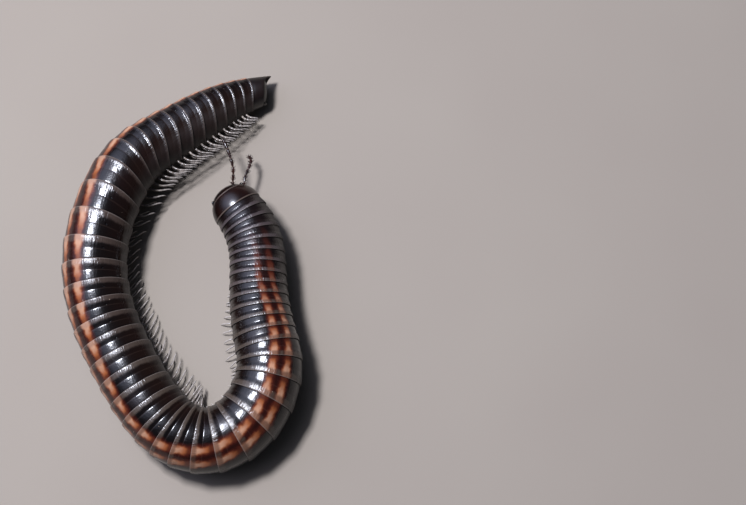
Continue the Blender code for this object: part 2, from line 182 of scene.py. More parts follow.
# Tail
TELSON_START, TELSON_END = 48, 49.62
TELSON_SLANT = 0.55  # it ends this much sooner on the belly, in ring numbers
VALVE_SHARE, VALVE_REACH = 0.845, 0.20
VALVE_TILT, VALVE_INSET, VALVE_DROP = 0.22, 0.10, 0.03
SPUR_REACH, SPUR_SPREAD = 0.50, 46
SCALE_SIZE = (0.18, 0.26, 0.10)

# Sizes of the patterns of the surfaces, in millimetres. Cuticle's own grain of a few microns is drawn
# coarser, to show.
FINE_GRAIN = 0.09
STRIPE_GRAIN = 0.35
CLOUD_SIZE = 1.6
DUST_SPACING = 0.45
# Degrees from the mid back to the middle of a stripe: before the bend and past it
STRIPE_TURNS = (13.5, 16.5)
STRIPES_PART = 11  # degrees that they part on the tail
STRIA_WIDTH = 2.4  # degrees of turn. Real striae are finer; these are drawn as coarse as they need to show
STRIA_LENGTH = 2.5  # times a stria's width in degrees, for each step of 1 along a ring
STRIA_DEPTH = 0.022
CLOUD_RELIEF = 0.01
PAINT_CLOUD = 12.0

Place = namedtuple("Place", "centre back outer radius roll")
Part = namedtuple("Part", "points faces marks")


# Geometry of the body line


def spline(knots, values, at):
    """Reads a natural cubic spline through the values at the knots, at any number of places."""
    knots, values, at = np.array(knots, float), np.array(values, float), np.asarray(at, float)
    spans = np.diff(knots)
    slopes = np.diff(values, axis=0) / spans[:, None]
    balance, turns = np.eye(len(knots)), np.zeros_like(values)
    for i in range(1, len(knots) - 1):
        balance[i, i - 1 : i + 2] = spans[i - 1], 2 * (spans[i - 1] + spans[i]), spans[i]
        turns[i] = 6 * (slopes[i] - slopes[i - 1])
    bends = np.linalg.solve(balance, turns)
    i = np.clip(np.searchsorted(knots, at, side="right") - 1, 0, len(spans) - 1)
    ahead = ((at - knots[i]) / spans[i])[..., None]
    behind = 1 - ahead
    straight = behind * values[i] + ahead * values[i + 1]
    bent = (behind**3 - behind) * bends[i] + (ahead**3 - ahead) * bends[i + 1]
    return straight + bent * (spans[i] ** 2)[..., None] / 6


def unit(vectors):
    return vectors / np.linalg.norm(vectors, axis=-1, keepdims=True)


def bump(values, middle, width):
    return np.exp(-(((values - middle) / width) ** 2))


def place(numbers):
    """Where the body is at these ring numbers, with its own directions. Its sections stand upright."""
    numbers = np.asarray(numbers, float)
    rings = [row[0] for row in STATIONS]
    values = [row[1:] for row in STATIONS]
    x, y, radius, roll = np.moveaxis(spline(rings, values, numbers), -1, 0)
    along = spline(rings, values, numbers + 0.05) - spline(rings, values, numbers - 0.05)
    back = unit(np.stack([along[..., 0], along[..., 1], np.zeros_like(x)], -1))
    height = radius * AXIS_HEIGHT + np.interp(numbers, LIFT_RINGS, LIFTS)
    return Place(np.stack([x, y, height], -1), back, np.cross(UP, back), radius, np.radians(roll))


def skin(numbers, turns, share=1.0):
    """Points of the shell at these ring numbers, turned this far from the middle of the back."""
    way = place(numbers).roll + turns
    bow = np.maximum(np.cos(way), 0) ** 2 - BOW_REST + BOW_ASIDE * np.sin(way)
    spot = place(numbers + np.interp(numbers, BOW_RINGS, BOWS) * bow)
    radial = np.cos(way)[..., None] * UP + np.sin(way)[..., None] * spot.outer
    points = spot.centre + (spot.radius * share)[..., None] * radial
    points[..., 2] = np.maximum(points[..., 2], 0)
    return points


# Meshes


def grid_faces(rows, columns, wrap=False):
    """Quads of a grid that closes round its columns, and round its rows too if asked."""
    row, column = np.meshgrid(np.arange(rows if wrap else rows - 1), np.arange(columns), indexing="ij")
    below, beside = (row + 1) % rows, (column + 1) % columns
    near, far = row * columns, below * columns
    quads = np.stack([near + column, near + beside, far + beside, far + column], -1)
    return quads.reshape(-1, 4).tolist()


def capped_faces(rows, columns):
    """Quads of a grid that closes round its columns, with one face over each end."""
    last = (rows - 1) * columns
    caps = [list(range(columns - 1, -1, -1)), list(range(last, last + columns))]
    return grid_faces(rows, columns) + caps


def joined(parts):
    """Several parts as one."""
    points, faces, marks, start = [], [], {}, 0
    for part in parts:
        points.append(part.points)
        faces += [[corner + start for corner in face] for face in part.faces]
        for name, values in part.marks.items():
            marks.setdefault(name, []).append(values)
        start += len(part.points)
    return Part(np.concatenate(points), faces, {name: np.concatenate(found) for name, found in marks.items()})


def facing_out(part):
    """The part with its faces turned outwards."""
    volume = 0.0
    for face in part.faces:
        corners = part.points[face]
        volume += np.dot(np.cross(corners[1:-1], corners[2:]).sum(axis=0), corners[0])
    faces = part.faces if volume > 0 else [face[::-1] for face in part.faces]
    return Part(part.points, faces, part.marks)


def as_piece(name, part, material, slot, *nodes):
    """A shown piece from a part in millimetres. It rides on the body and stands for these nodes."""
    mesh = bpy.data.meshes.new(name)
    mesh.from_pydata((part.points * MM).tolist(), [], part.faces)
    for mark, values in part.marks.items():
        layer = mesh.attributes.new(mark, "FLOAT", "POINT")
        layer.data.foreach_set("value", np.asarray(values, np.float32))
    mesh.materials.append(material)
    mesh.shade_smooth()
    piece = bpy.data.objects.new(name, mesh)
    bpy.context.scene.collection.objects.link(piece)
    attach(piece, BODY)
    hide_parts(*nodes)
    return piece


def tube(path, radii, sides, tip=0.6):
    """A closed limb round a path, with rounded ends. Its mark tells how far along it each point is."""
    path, radii = np.asarray(path, float), np.asarray(radii, float)
    tangents = unit(np.gradient(path, axis=0))
    path = np.concatenate([[path[0]], path, [path[-1] + tip * radii[-1] * tangents[-1]]])
    radii = np.concatenate([[0.4 * radii[0]], radii, [0.45 * radii[-1]]])
    tangents = np.concatenate([[tangents[0]], tangents, [tangents[-1]]])
    across = np.cross(tangents[0], (0.31, 0.17, 0.93))
    turns = 2 * np.pi * np.arange(sides) / sides
    rows = []
    for point, tangent, radius in zip(path, tangents, radii):
        across = unit(across - across.dot(tangent) * tangent)
        other = np.cross(tangent, across)
        rows.append(point + radius * (np.cos(turns)[:, None] * across + np.sin(turns)[:, None] * other))
    along = np.repeat(np.linspace(0, 1, len(path)), sides)
    return facing_out(Part(np.concatenate(rows), capped_faces(len(path), sides), {"along": along}))


def ball(centre, axes, sizes, columns, rows, shape=None):
    """A ball along its own axes, the last one its pole. A function may move its unit points."""
    heights = np.radians(np.linspace(-90, 90, rows + 2)[1:-1])
    turns = 2 * np.pi * np.arange(columns) / columns
    flat = np.cos(heights)[:, None]
    unit_points = np.stack(
        [flat * np.cos(turns), flat * np.sin(turns), np.repeat(np.sin(heights)[:, None], columns, 1)], -1
    ).reshape(-1, 3)
    if shape:
        unit_points = shape(unit_points)
    points = np.asarray(centre) + (unit_points * sizes) @ np.asarray(axes)
    return facing_out(Part(points, capped_faces(rows, columns), {}))


# Rings of the trunk


def ring_part(number):
    """One ring as a closed shell, with its marks: place along it, turn from the back, ring number."""
    outline = np.array(RING_OUTSIDE + RING_INSIDE)
    along, share = outline[:, :1], outline[:, 1:]
    turns = np.radians(np.arange(RING_SIDES) * 360 / RING_SIDES - 180)[None]
    begin, end, most = TAIL_FLARE
    step = np.clip((begin - along) / (begin - end), 0, 1)
    way = np.degrees(place(number).roll + turns)
    flare = most * np.interp(number, FLARE_RINGS, (0, 1)) * np.interp(way, FLARE_WAYS, (1, 0))
    share = share + flare * step**2 * (3 - 2 * step)
    rear, front = skin(np.full_like(turns, number), turns), skin(np.full_like(turns, number - 1), turns)
    here = np.linalg.norm(rear - front, axis=-1)
    usual = np.linalg.norm(place(number).centre - place(number - 1).centre)
    suture = np.minimum(SUTURE_SHARE * np.sqrt(here * usual), SUTURE_LIMIT * here)
    behind = np.minimum(along, 1) * suture
    ahead = np.clip(along - 1, 0, 1) * (here - suture) + np.maximum(along - 2, 0) * TUCKED
    numbers = number - (behind + ahead) / here
    points = skin(numbers, np.broadcast_to(turns, numbers.shape), share)
    marks = {
        "along": np.broadcast_to(along, numbers.shape).ravel(),
        "turn": np.broadcast_to(np.degrees(turns), numbers.shape).ravel(),
        "ring": numbers.ravel(),
    }
    return facing_out(Part(points.reshape(-1, 3), grid_faces(len(outline), RING_SIDES, wrap=True), marks))


def make_rings(material):
    """The rings, in one piece for each length of the trunk."""
    first = 2
    for number, last in enumerate(LENGTH_ENDS, start=1):
        rings = joined([ring_part(ring) for ring in range(first, last + 1)])
        as_piece(f"rings_{number:02d}", rings, material, "ring_shell", f"trunk_{number:02d}")
        first = last + 1


# Legs


def leg_path(ring, row, draw):
    """From inside the belly out over a knee and down to the toe, swung by the gait's wave."""
    spot = place(ring)
    scale = spot.radius / place(20).radius
    angle = spot.roll + row * math.radians(LEG_ROW_ANGLE)
    radial = -(math.sin(angle) * spot.outer + math.cos(angle) * UP)
    folded = math.degrees(spot.roll) > FOLD_ROLL
    side = -spot.outer if row > 0 or folded else spot.outer
    wave = GAIT_SWING * math.sin(2 * math.pi * ring / GAIT_RINGS + (0.8 if row > 0 else 0))
    lean = float(np.interp(ring, LEG_RINGS, LEG_LEANS)) + wave + draw.uniform(-0.08, 0.08)
    way = unit(side + lean * spot.back)
    length = float(np.interp(ring, LEG_RINGS, LEG_LENGTHS)) * scale * draw.uniform(0.92, 1.06)
    root = spot.centre + 0.86 * spot.radius * radial
    hip = spot.centre + 1.04 * spot.radius * radial
    knee = hip + 0.42 * length * (0.50 * radial + 0.50 * way)
    ankle = knee + 0.38 * length * (0.85 * way - 0.30 * UP)
    toe = ankle + 0.24 * length * (0.55 * way - 0.80 * UP)
    path = np.array([root, hip, knee, ankle, toe])
    path[1:, 2] = np.maximum(path[1:, 2], LEG_RADIUS * np.array([1.1, 1.1, 1.1, 0.5]))
    return path


def leg_part(ring, row, draw):
    """One leg of six articles and a claw."""
    path = leg_path(ring, row, draw)
    near_joints = [np.array(LEG_JOINTS) + offset for offset in (-0.05, -0.012, 0, 0.02)]
    steps = np.unique(np.concatenate([[0, 0.05, 1.0]] + near_joints))
    run = np.concatenate([[0], np.cumsum(np.linalg.norm(np.diff(path, axis=0), axis=1))])
    points = spline(run / run[-1], path, steps)
    points[:, 2] = np.maximum(points[:, 2], 0.03)
    joints = np.exp(-(((steps[:, None] - np.array(LEG_JOINTS)) / 0.013) ** 2)).sum(axis=1)
    radii = LEG_RADIUS * (1 - 0.55 * steps) * (1 - 0.28 * joints)
    radii[steps > LEG_JOINTS[-1] + 0.01] *= 0.5
    radii[-1] = 0.012
    part = tube(points, radii, LEG_SIDES)
    part.points[:, 2] = np.maximum(part.points[:, 2], 0)
    return part


def make_legs(material):
    """The legs, in one piece for each length of the trunk."""
    draw = np.random.default_rng(7)
    first = 2
    for number, last in enumerate(LENGTH_ENDS, start=1):
        legs = []
        for ring in range(first, min(last, LAST_LEGGED_RING) + 1):
            places = PAIR_PLACES[:1] if ring in SINGLE_PAIR_RINGS else PAIR_PLACES
            legs += [leg_part(ring - share, row, draw) for share in places for row in (-1, 1)]
        as_piece(f"legs_{number:02d}", joined(legs), material, "feeler", f"trunk_{number:02d}")
        first = last + 1


# Head


def head_axes():
    """Centre of the head and its axes: forward, left, up."""
    spot = place(1)
    forward = -spot.back
    centre = spot.centre + HEAD_FORWARD * forward - HEAD_DROP * UP
    return centre, np.array([forward, np.cross(UP, forward), UP])


def on_head(offset):
    centre, axes = head_axes()
    return centre + np.asarray(offset) @ axes


def head_form(unit_points):
    """Narrows the chin, presses in the grooves and raises the upper lip with its notch."""
    forward, left, up = unit_points.T.copy()
    left = np.where(up < 0, left * (1 + CHIN_NARROWING * up), left)
    face = np.clip(forward, 0, 1)
    parting = 0.03 * bump(left, 0, 0.03) * np.clip(up + 0.1, 0, 1)
    lip_groove = 0.035 * bump(up, -0.46, 0.04) * bump(left, 0, 0.5)
    lip = 0.07 * bump(up, -0.72, 0.16) * bump(left, 0, 0.36)
    notch = 0.16 * bump(left, 0, 0.07) * bump(up, -0.86, 0.10)
    swell = face * (lip - lip_groove - notch) - parting
    sockets = sum(
        0.10 * bump(np.linalg.norm(unit_points - socket_way(points), axis=1), 0, 0.17)
        for points in (ANTENNA_LEFT, ANTENNA_RIGHT)
    )
    return np.stack([forward, left, up], -1) * (1 + swell - sockets)[:, None]


def socket_way(points):
    """Unit place on the head of the root of a feeler."""
    centre, axes = head_axes()
    return unit((axes @ (np.array(points[0]) - centre)) / HEAD_SIZE)


def make_head(material):
    centre, axes = head_axes()
    head = ball(centre, axes, HEAD_SIZE, 160, 110, head_form)
    as_piece("head_capsule", head, material, "head_shell", "head")


def lens_places(side):
    """Places of the lenses of one eye, in six slanting rows on its bulge."""
    found = []
    for row in range(6):
        for column in range(7 - row // 2):
            across = (column - 3 + 0.25 * row + 0.5 * (row % 2)) * 0.27
            along = (row - 2.5) * 0.29
            if across**2 + along**2 < 0.93:
                found.append((across, side * math.sqrt(1 - across**2 - along**2), along))
    return found


def make_eyes(material):
    """Each eye is a low bulge set with small round lenses."""
    axes = head_axes()[1]
    for side, hand in ((1, "left"), (-1, "right")):
        middle = on_head((EYE_PLACE[0], side * EYE_PLACE[1], EYE_PLACE[2]))
        sizes = np.array(EYE_SIZE) * (0.94, 0.80, 0.94)
        parts = [ball(middle, axes, sizes, 32, 16)]
        for spot in lens_places(side):
            parts.append(ball(middle + (np.array(spot) * sizes) @ axes, axes, (LENS_RADIUS,) * 3, 12, 7))
        as_piece(f"eye_lenses_{hand}", joined(parts), material, "eye", f"eye_{hand}")


def cheek_form(unit_points):
    """A groove round the middle of a mandible's base."""
    return unit_points * (1 - 0.05 * bump(unit_points[:, 0], 0.15, 0.05))[:, None]


def underlip_form(unit_points):
    """Grooves between the plates of the underlip."""
    left = np.abs(unit_points[:, 1])
    grooves = bump(left, 0.0, 0.035) + bump(left, 0.42 - 0.2 * unit_points[:, 0], 0.04)
    return unit_points * (1 - 0.08 * grooves)[:, None]


def make_mouthparts(material):
    axes = head_axes()[1]
    for side, hand in ((1, "left"), (-1, "right")):
        middle = on_head((CHEEK_PLACE[0], side * CHEEK_PLACE[1], CHEEK_PLACE[2]))
        cheek = ball(middle, axes, CHEEK_SIZE, 48, 32, cheek_form)
        as_piece(f"mandible_base_{hand}", cheek, material, "head_shell", f"mandible_{hand}")
    underlip = ball(on_head(UNDERLIP_PLACE), axes, UNDERLIP_SIZE, 96, 40, underlip_form)
    as_piece("underlip", underlip, material, "head_shell", "gnathochilarium")


def feeler_parts(points):
    """The articles of a feeler, each narrow at its root and swollen at its end."""
    knots = np.linspace(0, 1, len(points))
    parts = []
    starts = (0.0,) + ARTICLE_ENDS[:-1]
    for start, end, radius in zip(starts, ARTICLE_ENDS, ARTICLE_RADII):
        steps = np.linspace(0, 1, 9)
        path = spline(knots, points, start + (end - start) * steps)
        radii = radius * np.interp(steps, (0, 0.15, 0.7, 0.92, 1), (0.55, 0.66, 1.0, 0.98, 0.72))
        parts.append(tube(path, radii, 14))
    return parts


def bristles(points, draw):
    """Fine bristles that stand off a feeler and lean to its tip."""
    knots = np.linspace(0, 1, len(points))
    found = []
    for start, end, radius in zip((0.0,) + ARTICLE_ENDS[:-1], ARTICLE_ENDS, ARTICLE_RADII):
        count = int(90 * (end - start)) + 2
        for step in draw.uniform(start + 0.2 * (end - start), end, count):
            root, ahead = spline(knots, points, [step, min(step + 0.01, 1.0)])
            way = unit(ahead - root) if step < 0.99 else unit(np.subtract(points[-1], points[-2]))
            out = unit(np.cross(way, draw.normal(size=3)))
            length = draw.uniform(0.09, 0.16)
            path = [root + 0.7 * radius * out, root + radius * out + 0.4 * length * (out + 0.5 * way)]
            path.append(path[1] + 0.6 * length * (0.45 * out + way))
            found.append(tube(path, (0.011, 0.009, 0.003), 4))
    return found


def make_feelers(material):
    draw = np.random.default_rng(3)
    for hand, points in (("left", ANTENNA_LEFT), ("right", ANTENNA_RIGHT)):
        parts = feeler_parts(points) + bristles(points, draw)
        as_piece(f"feeler_{hand}", joined(parts), material, "feeler", f"antenna_{hand}")


# Collum


def collum_part():
    """The shield behind the head: a hood with a rolled front margin, closed inside."""
    spot = place(1)
    forward = -spot.back
    outline = np.array([(along, 1.0) for along in COLLUM_SMOOTH] + list(COLLUM_MARGIN + COLLUM_INSIDE))
    turns = np.radians(np.arange(RING_SIDES) * 360 / RING_SIDES - 180)
    reach = np.interp(np.degrees(np.abs(turns)), COLLUM_TURNS, COLLUM_FRONTS)
    along, share = outline[:, :1], outline[:, 1:]
    distance = along * reach
    wide = np.sqrt(np.maximum(1 - (np.maximum(distance, 0) / COLLUM_REACH) ** 2, 0))
    high = np.maximum(1 - (np.maximum(distance, 0) / (COLLUM_REACH + 0.10)) ** 2, 0) ** 0.5
    way = spot.roll + turns
    rise, sideways = np.cos(way) * np.where(np.cos(way) > 0, high, wide), np.sin(way) * wide
    radial = rise[..., None] * UP + sideways[..., None] * spot.outer
    points = spot.centre + distance[..., None] * forward + (spot.radius * share)[..., None] * radial
    marks = {
        "along": np.broadcast_to(along, distance.shape).ravel(),
        "turn": np.broadcast_to(np.degrees(np.abs(turns)), distance.shape).ravel(),
    }
    return facing_out(Part(points.reshape(-1, 3), grid_faces(len(outline), RING_SIDES, wrap=True), marks))


def make_collum(material):
    as_piece("collum_shield", collum_part(), material, "collum_shell", "collum")


# Tail


def telson_part():
    """The last ring. Its back runs out in a spur, and its inside takes the valves."""
    outline = np.array(
        [(-0.4, 0.89), (0.0, 0.93), (0.15, 0.955), (0.35, 0.965), (0.6, 0.966), (0.85, 0.963), (0.95, 0.958),
         (0.985, 0.950), (1.0, 0.935), (0.995, 0.915), (0.97, 0.895), (0.9, 0.875), (0.7, 0.86), (0.3, 0.84),
         (-0.1, 0.82), (-0.38, 0.82)]
    )
    along, share = outline[:, :1], outline[:, 1:]
    turns = np.radians(np.arange(RING_SIDES) * 360 / RING_SIDES - 180)[None]
    turned = np.degrees(np.abs(turns))
    length = TELSON_END - TELSON_START - TELSON_SLANT * (turned / 180) ** 2
    numbers = TELSON_START + along * length
    spread = np.broadcast_to(turns, numbers.shape)
    peak = SPUR_REACH * np.exp(-((turned / SPUR_SPREAD) ** 1.5)) * np.clip((along - 0.3) / 0.7, 0, 1) ** 1.5
    points = skin(numbers, spread, share) + peak[..., None] * place(TELSON_END).back
    marks = {
        "along": np.broadcast_to(along, numbers.shape).ravel(),
        "turn": np.broadcast_to(turned, numbers.shape).ravel(),
    }
    return facing_out(Part(points.reshape(-1, 3), grid_faces(len(outline), RING_SIDES, wrap=True), marks))


def tail_axes():
    """Centre of the valves and their axes: back, side, towards the middle of the back."""
    spot = place(TELSON_END)
    dorsal = math.cos(spot.roll) * UP + math.sin(spot.roll) * spot.outer
    back = unit(spot.back - VALVE_TILT * dorsal)
    side = np.cross(back, dorsal)
    middle = spot.centre - VALVE_INSET * spot.back - VALVE_DROP * dorsal
    return middle, np.array([back, side, np.cross(side, back)]), float(spot.radius)


def half_ball(unit_points):
    """Flattens the half of a ball with a negative second coordinate, with a raised margin."""
    points = unit_points.copy()
    flat = points[:, 1] < 0
    points[flat, 1] = 0
    edge = bump(points[:, 1], 0.06, 0.05)
    return points * (1 + 0.03 * edge)[:, None]


def make_tail(shell, valve):
    as_piece("telson", telson_part(), shell, "tail_shell", "preanal_ring")
    middle, axes, radius = tail_axes()
    size = VALVE_SHARE * radius
    for side, hand in ((1, "left"), (-1, "right")):
        turned = np.array([axes[0], side * axes[1], axes[2]])
        part = ball(middle + 0.03 * side * axes[1], turned, (VALVE_REACH, size, size), 72, 48, half_ball)
        as_piece(f"valve_{hand}", part, valve, "tail_shell", f"anal_valve_{hand}")
    under = middle + 0.02 * axes[0] - size * axes[2]
    as_piece("scale_plate", ball(under, axes, SCALE_SIZE, 40, 20), valve, "tail_shell", "subanal_scale")


# Materials

SMOOTH = {"interpolation_type": "SMOOTHSTEP"}
PAINT = {"data_type": "RGBA"}
TIMES = {"operation": "MULTIPLY"}
TIMES_PLUS = {"operation": "MULTIPLY_ADD"}
MINUS = {"operation": "SUBTRACT"}
SIZE = {"operation": "ABSOLUTE"}

RingMarks = namedtuple("RingMarks", "along signed turn ring where fine grain cloud")


def linear(hex_colour):
    """An sRGB hex colour as linear RGBA."""
    parts = [int(hex_colour[i : i + 2], 16) / 255 for i in (1, 3, 5)]
    return [p / 12.92 if p <= 0.04045 else ((p + 0.055) / 1.055) ** 2.4 for p in parts] + [1]


def add(tree, kind, *inputs, output=None, **settings):
    """Adds a node with its settings. Its inputs, in order, are sockets to link, hex colours or values."""
    node = tree.nodes.new("ShaderNode" + kind)
    for name, value in settings.items():
        setattr(node, name, value)
    sockets = [socket for socket in node.inputs if socket.enabled]
    for socket, source in zip(sockets, inputs):
        if isinstance(source, bpy.types.NodeSocket):
            tree.links.new(source, socket)
        elif source is not None:
            socket.default_value = linear(source) if isinstance(source, str) else source
    return node.outputs[output] if output else next(socket for socket in node.outputs if socket.enabled)


def new_material(name, **uniform):
    """A material with its shader, and the sockets that are the same all over."""
    material = bpy.data.materials.new(name)
    material.use_nodes = True
    shader = material.node_tree.nodes["Principled BSDF"]
    for socket, value in uniform.items():
        shader.inputs[socket.replace("_", " ")].default_value = value
    return material, material.node_tree, shader


def finish_material(tree, shader, **sources):
    """Links what varies over the surface to the shader."""
    for socket, source in sources.items():
        tree.links.new(source, shader.inputs[socket.replace("_", " ")])


def ring_marks(tree):
    """What is known at a spot of a ring: its place along the ring, its turn from the mid back with and
    without its sign, its ring number, and three noises."""
    along, signed, ring = (
        add(tree, "Attribute", attribute_name=name, output="Fac") for name in ("along", "turn", "ring")
    )
    turn = add(tree, "Math", signed, **SIZE)
    where = add(tree, "TexCoord", output="Object")
    fine = add(tree, "TexNoise", where, 1 / (FINE_GRAIN * MM), 2.0)
    grain = add(tree, "TexNoise", where, 1 / (STRIPE_GRAIN * MM), 2.0)
    cloud = add(tree, "TexNoise", where, 1 / (CLOUD_SIZE * MM), 3.0)
    return RingMarks(along, signed, turn, ring, where, fine, grain, cloud)


def ring_ground(tree, marks):
    """Black-brown, browner on the flanks and redder behind the head, with a strip of painted shade before
    each rim, where the ring ahead overhangs it.
    """
    flank = add(tree, "MapRange", marks.turn, 45, 120, **SMOOTH)
    blotch = add(tree, "MapRange", marks.cloud, 0.45, 0.7, 0, 0.5, **SMOOTH)
    neck = add(tree, "MapRange", marks.ring, 9, 3, 0, 0.5, **SMOOTH)
    # Painted shade: a darker strip where this ring runs under the rim of the ring ahead
    rim_shade = add(tree, "MapRange", marks.along, 1.7, 2.0, **SMOOTH)
    colour = "#080505"
    for amount, paint in ((flank, "#180c07"), (blotch, "#150807"), (neck, "#130909"), (rim_shade, "#080403")):
        colour = add(tree, "Mix", amount, colour, paint, **PAINT)
    return colour


def ring_stripe(tree, marks):
    """The two stripes, narrower towards the front of their ring: how far each spot is inside their
    red-brown fringe and their core, and the core's colour, orange that turns peach to the rear."""
    wander = add(tree, "MapRange", marks.grain, 0.3, 0.7, -2.0, 2.0)
    tail = add(tree, "MapRange", marks.ring, 36, 41, 0, STRIPES_PART, **SMOOTH)
    middle = add(tree, "MapRange", marks.ring, 19, 27, *STRIPE_TURNS, **SMOOTH)
    middle = add(tree, "Math", middle, tail)
    aside = add(tree, "Math", marks.turn, middle, **MINUS)
    aside = add(tree, "Math", add(tree, "Math", aside, wander), **SIZE)
    thinner = add(tree, "MapRange", marks.ring, 8, 20, 1.35, 1.0, **SMOOTH)
    aside = add(tree, "Math", aside, thinner, **TIMES)
    from_stripe = add(tree, "Math", marks.along, 2.2, aside, **TIMES_PLUS)
    fringe = add(tree, "MapRange", from_stripe, 18, 9, 0, 0.9, **SMOOTH)
    core = add(tree, "MapRange", from_stripe, 13.0, 6.0, **SMOOTH)

    orange = add(tree, "MapRange", marks.ring, 6, 17, **SMOOTH)
    lit = add(tree, "Math", core, orange, **TIMES)
    rearward = add(tree, "MapRange", marks.along, 1.5, 0.6, **SMOOTH)
    heart = add(tree, "MapRange", from_stripe, 9.5, 3.5, 0, rearward, **SMOOTH)
    peach = add(tree, "Math", heart, orange, **TIMES)
    blotch = add(tree, "MapRange", marks.cloud, 0.45, 0.7, 0, 0.3, **SMOOTH)
    most = add(tree, "MapRange", marks.ring, 30, 26, 0.45, 0.9, **SMOOTH)
    crossing = add(tree, "MapRange", marks.along, 1.35, 1.75, 0, most, **SMOOTH)
    colour = "#552619"
    for amount, paint in ((lit, "#804728"), (peach, "#a57c62"), (blotch, "#744227"), (crossing, "#40190f")):
        colour = add(tree, "Mix", amount, colour, paint, **PAINT)
    return fringe, core, colour


def rear_band(tree, marks, fringe, core):
    """The clear rear band, narrower towards the tail: the distance from it, how much of it shows and
    its colour, which lets the stripe through."""
    ragged = add(tree, "MapRange", marks.grain, 0.3, 0.7, -0.05, 0.05)
    narrow = add(tree, "MapRange", marks.ring, 33, 39, 0, 0.30, **SMOOTH)
    from_rear = add(tree, "Math", add(tree, "Math", marks.along, ragged), narrow)
    clear = add(tree, "MapRange", marks.ring, 3, 10, 0.6, 0.85, **SMOOTH)
    band = add(tree, "MapRange", from_rear, 0.62, 0.34, 0, clear, **SMOOTH)

    late = add(tree, "MapRange", marks.ring, 25, 31, **SMOOTH)
    over_stripe = add(tree, "Mix", late, "#614334", "#916f5b", **PAINT)
    # Painted shade: the clear band is darkened on the outer flank
    shaded = add(tree, "MapRange", marks.signed, 32, 52, 0, 0.8, **SMOOTH)
    early = add(tree, "MapRange", marks.ring, 12, 6, **SMOOTH)
    colour = "#41372f"
    for amount, paint in (
        (early, "#4c4242"),
        (late, "#3c312b"),
        (fringe, "#2f1911"),
        (core, over_stripe),
        (shaded, "#0f0807"),
    ):
        colour = add(tree, "Mix", amount, colour, paint, **PAINT)
    return from_rear, band, colour


def gland_pore(tree, marks):
    """The stink gland's pore on each flank."""
    across = add(tree, "MapRange", marks.turn, 62.0, 63.7, 0, 1, clamp=False)
    ahead = add(tree, "MapRange", marks.along, 0.84, 0.93, 0, 1, clamp=False)
    across = add(tree, "Math", across, across, **TIMES)
    return add(tree, "MapRange", add(tree, "Math", ahead, ahead, across, **TIMES_PLUS), 1.3, 0.5, **SMOOTH)


def ring_relief(tree, marks, from_rear, pore):
    """Fine lengthwise striae, strongest on the rear band and behind the head, which smear the light
    across the ring, and the pores."""
    number = add(tree, "Math", marks.ring, operation="CEIL")
    along = add(tree, "Math", marks.along, STRIA_LENGTH, **TIMES)
    apart = add(tree, "Math", number, 7.3, **TIMES)
    striae = add(tree, "TexNoise", add(tree, "CombineXYZ", marks.signed, along, apart), 1 / STRIA_WIDTH, 2.0)
    least = add(tree, "MapRange", marks.ring, 13, 6, 0.3, 0.6, **SMOOTH)
    most = add(tree, "MapRange", marks.ring, 14, 6, 1.2, 1.5, **SMOOTH)
    strength = add(tree, "MapRange", from_rear, 0.9, 0.40, least, most, **SMOOTH)
    height = add(tree, "Math", striae, strength, **TIMES)
    height = add(tree, "Math", marks.fine, 0.2, height, **TIMES_PLUS)
    height = add(tree, "Math", pore, -2.0, height, **TIMES_PLUS)
    return add(tree, "Bump", 1.0, STRIA_DEPTH * MM, None, height)


def ring_cuticle():
    """Calcified cuticle of the rings: hard, smooth and black-brown under a wet-looking gloss. It thins
    to a clear pale band at each rear edge, and two orange stripes run along the back."""
    material, tree, shader = new_material("calcified_cuticle_striped", IOR=1.5)
    marks = ring_marks(tree)
    fringe, core, stripe = ring_stripe(tree, marks)
    striped = add(tree, "MapRange", marks.ring, 3, 12, **SMOOTH)
    fringe = add(tree, "Math", fringe, striped, **TIMES)
    core = add(tree, "Math", core, striped, **TIMES)
    from_rear, band, band_colour = rear_band(tree, marks, fringe, core)
    midline = add(tree, "MapRange", marks.turn, 10, 4, 0, add(tree, "Math", striped, 0.8, **TIMES), **SMOOTH)
    rim = add(tree, "MapRange", marks.along, 0.10, 0.05, 0, 0.35, **SMOOTH)
    from_suture = add(tree, "Math", add(tree, "Math", marks.along, 1, **MINUS), **SIZE)
    suture = add(tree, "MapRange", from_suture, 0.05, 0.02, 0, 0.10, **SMOOTH)
    cells = add(tree, "TexVoronoi", marks.where, 1 / (DUST_SPACING * MM))
    chance = add(tree, "SeparateColor", cells.node.outputs["Color"])
    dust = add(tree, "MapRange", cells, 0.075, 0.045, 0, add(tree, "MapRange", chance, 0.80, 0.82, 0, 0.8))
    pore = gland_pore(tree, marks)
    colour = ring_ground(tree, marks)
    for amount, paint in (
        (midline, "#220906"),
        (fringe, "#3c140b"),
        (core, stripe),
        (band, band_colour),
        (rim, "#726963"),
        (suture, "#544238"),
        (dust, "#877666"),
        (pore, "#040202"),
    ):
        colour = add(tree, "Mix", amount, colour, paint, **PAINT)

    # Satin on the rear band, and uneven where the shell is scuffed
    scuffed = add(tree, "MapRange", marks.cloud, 0.5, 0.75, 0.16, 0.23, **SMOOTH)
    satin = add(tree, "MapRange", from_rear, 0.75, 0.40, 0, 0.05, **SMOOTH)
    rough = add(tree, "Math", marks.fine, 0.06, add(tree, "Math", scuffed, satin), **TIMES_PLUS)
    outer = add(tree, "MapRange", marks.signed, 40, 65, 0, 0.32, **SMOOTH)
    inner = add(tree, "MapRange", marks.signed, -92, -122, 0, 0.32, **SMOOTH)
    neck = add(tree, "MapRange", marks.ring, 14, 7, 0, 0.05, **SMOOTH)
    rough = add(tree, "Math", add(tree, "Math", rough, neck), add(tree, "Math", outer, inner))
    normal = ring_relief(tree, marks, from_rear, pore)
    finish_material(tree, shader, Base_Color=colour, Roughness=rough, Normal=normal)
    return material


